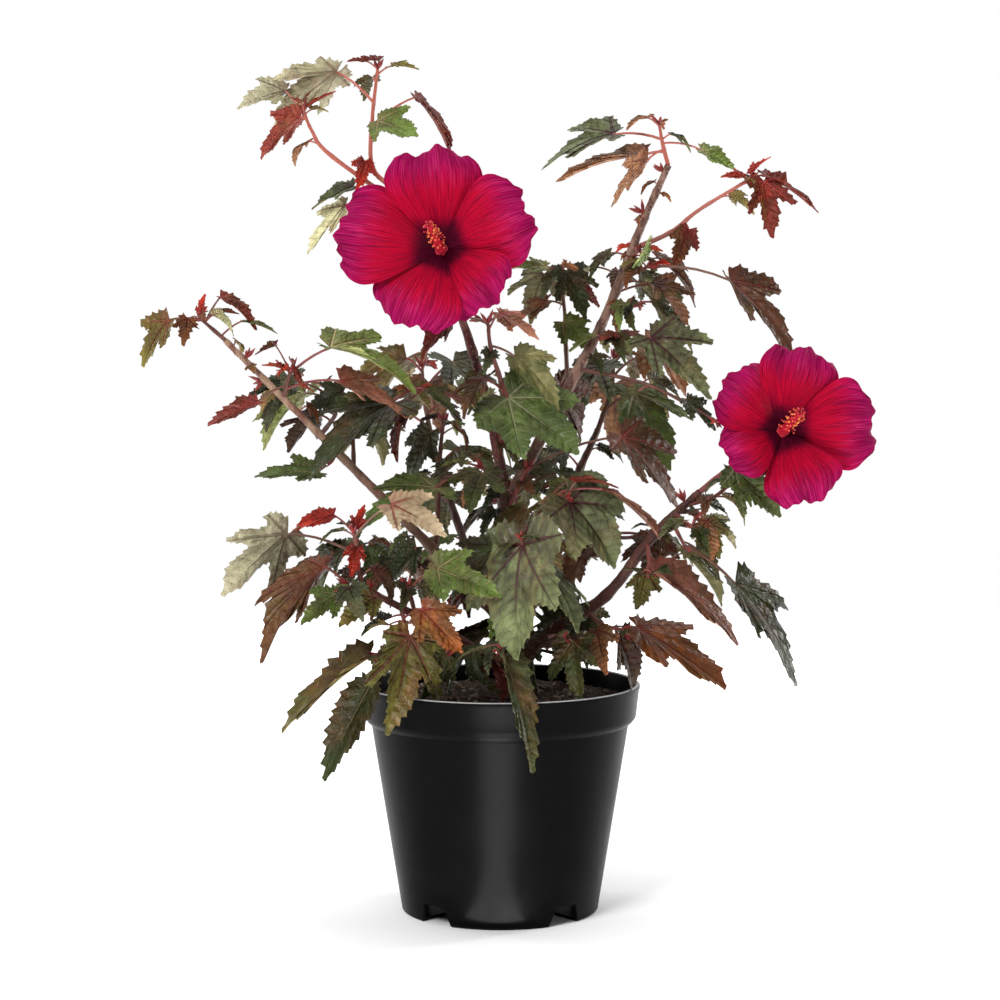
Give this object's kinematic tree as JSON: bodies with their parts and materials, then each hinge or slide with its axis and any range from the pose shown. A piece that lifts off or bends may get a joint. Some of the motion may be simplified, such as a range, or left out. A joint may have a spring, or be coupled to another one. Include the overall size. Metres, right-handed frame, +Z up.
{
  "type": "potted hibiscus shrub",
  "caption": "Open flowering hibiscus shrub with lobed bronze-green leaves and large open crimson blooms, standing in a black nursery pot",
  "frame": {"origin": "the middle of the pot's flat underside, on the surface that the pot stands on", "axes": "+Z up, -Y to the front where both blooms face, +X to the right seen from the front"},
  "size_m": [0.4823, 0.301, 0.579],
  "materials": {
    "pot": "moulded black plastic, satin, slightly streaked",
    "soil": "moist peat potting soil with pale bits",
    "bark": "young red-brown bark, finely ribbed, with leaf scars",
    "leaf": "bronze-green lobed leaves, satin, with purple veins",
    "petal": "soft crimson petals with a dark maroon eye"
  },
  "bodies": {
    "root": {"pot": "pot", "soil": "soil", "trunk": "bark", "bough_left_leader": "bark", "bough_right_leader": "bark", "bough_right_low": "bark", "bough_left_high": "bark", "bough_left_low": "bark", "bough_back_left": "bark", "bough_back_right": "bark", "twigs_left_top": "leaf", "twigs_left_top_side": "leaf", "twigs_left_shoulder": "leaf", "twigs_left_back": "leaf", "flowering_twig_left": "petal", "twigs_centre_top": "leaf", "twigs_left_middle": "leaf", "twigs_left_inner": "leaf", "twigs_right_top": "leaf", "twigs_right_side": "leaf", "twigs_right_front": "leaf", "leaf_right_long_stalk": "leaf", "twigs_right_upper": "leaf", "twigs_right_green": "leaf", "twigs_right_thin": "leaf", "twigs_right_back": "leaf", "twigs_centre_high": "leaf", "twigs_centre_brown": "leaf", "twigs_centre_right": "leaf", "flowering_twig_right": "petal", "twigs_under_bloom": "leaf", "twigs_right_low_spur": "leaf", "leaf_low_long_stalk": "leaf", "twigs_right_skirt": "leaf", "twigs_right_middle": "leaf", "twigs_rim_right": "leaf", "twigs_rim_front": "leaf", "twigs_hanging_front": "leaf", "twigs_front_centre": "leaf", "twigs_front_low": "leaf", "twigs_rim_left": "leaf", "twigs_rim_left_low": "leaf", "twigs_left_low_tip": "leaf", "twigs_left_low_side": "leaf", "twigs_left_low_inner": "leaf", "twigs_left_upright": "leaf", "twigs_left_high_middle": "leaf", "twigs_left_high_inner": "leaf", "twigs_left_far": "leaf", "twigs_left_high_back": "leaf", "twigs_back_left_tip": "leaf", "twigs_back_left_low": "leaf", "twigs_back_right_tip": "leaf", "twigs_back_right_low": "leaf", "twigs_back_middle": "leaf"}
  },
  "joints": []
}
